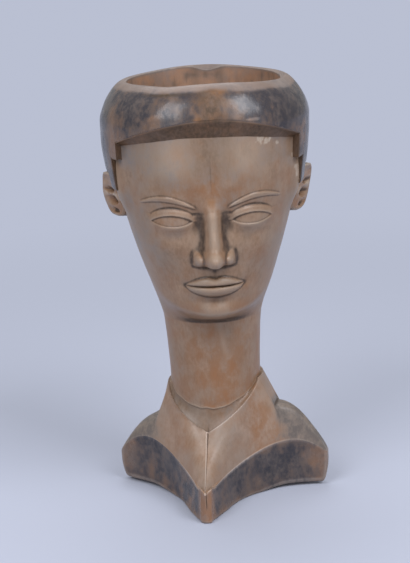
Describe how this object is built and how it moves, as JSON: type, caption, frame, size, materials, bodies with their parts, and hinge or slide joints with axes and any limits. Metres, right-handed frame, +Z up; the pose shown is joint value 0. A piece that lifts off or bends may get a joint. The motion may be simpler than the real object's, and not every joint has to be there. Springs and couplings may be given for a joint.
{
  "type": "figural drinking cup",
  "caption": "Carved wooden drinking cup in the form of a head on a long neck: the hollow crown is the bowl, and robed shoulders spread into a four-pointed foot.",
  "frame": {"origin": "on the neck's axis, in the plane of the foot's flat underside", "axes": "+Z up along the neck to the rim, the face looks along -Y, +X is on the viewer's right"},
  "size_m": [0.0932, 0.095, 0.181],
  "materials": {
    "brown_wood": "hand-carved, handled to a low sheen",
    "worn_wood": "hand-carved, rubbed pale on its edges",
    "dark_wood": "hand-carved, dark stained patina with a soft gloss"
  },
  "bodies": {
    "root": {"foot": "dark_wood", "shoulders": "worn_wood", "neck": "brown_wood", "head": "brown_wood", "hair_cap": "dark_wood", "left_ear": "brown_wood", "right_ear": "brown_wood"}
  },
  "joints": []
}
